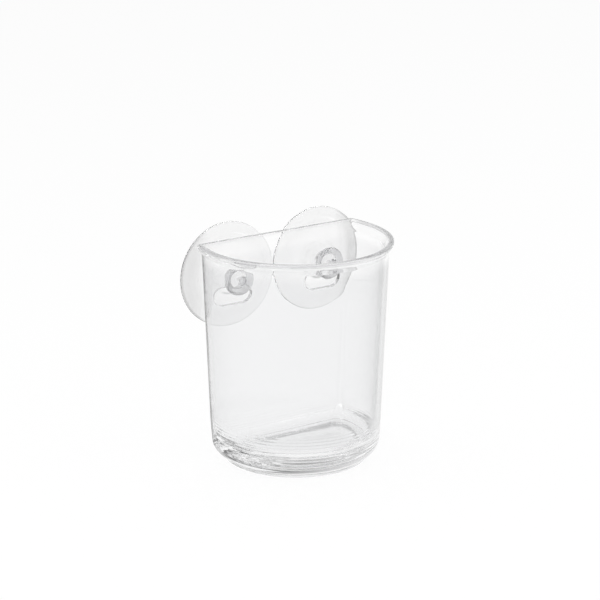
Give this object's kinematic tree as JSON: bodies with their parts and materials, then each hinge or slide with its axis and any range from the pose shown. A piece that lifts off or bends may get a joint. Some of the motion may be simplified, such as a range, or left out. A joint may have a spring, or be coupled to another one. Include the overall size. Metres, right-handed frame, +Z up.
{
  "type": "suction cup tumbler",
  "caption": "Clear tumbler with a flat back, a round front and a flared lip, hung on a smooth wall by clear suction cups whose button heads hook into keyholes in its back.",
  "frame": {"origin": "middle of the part's box, on the plane that the foot ring stands on", "axes": "+Z up along the cup's height; -Y the round front; +Y the flat back, towards the wall; +X to the right seen from the front"},
  "size_m": [0.0988, 0.0658, 0.111],
  "materials": {
    "clear_plastic": "clear, polished moulding",
    "clear_vinyl": "clear, soft, glossy vinyl"
  },
  "bodies": {
    "cup": {"tumbler": "clear_plastic"},
    "left_suction_cup": {"suction_cup_left": "clear_vinyl"},
    "right_suction_cup": {"suction_cup_right": "clear_vinyl"}
  },
  "joints": [
    {"name": "left_keyhole_slide", "type": "slide", "parent": "cup", "child": "left_suction_cup", "axis": [0, 0, 1], "range_m": [-0.009, 0]},
    {"name": "right_keyhole_slide", "type": "slide", "parent": "cup", "child": "right_suction_cup", "axis": [0, 0, 1], "range_m": [-0.009, 0]}
  ]
}
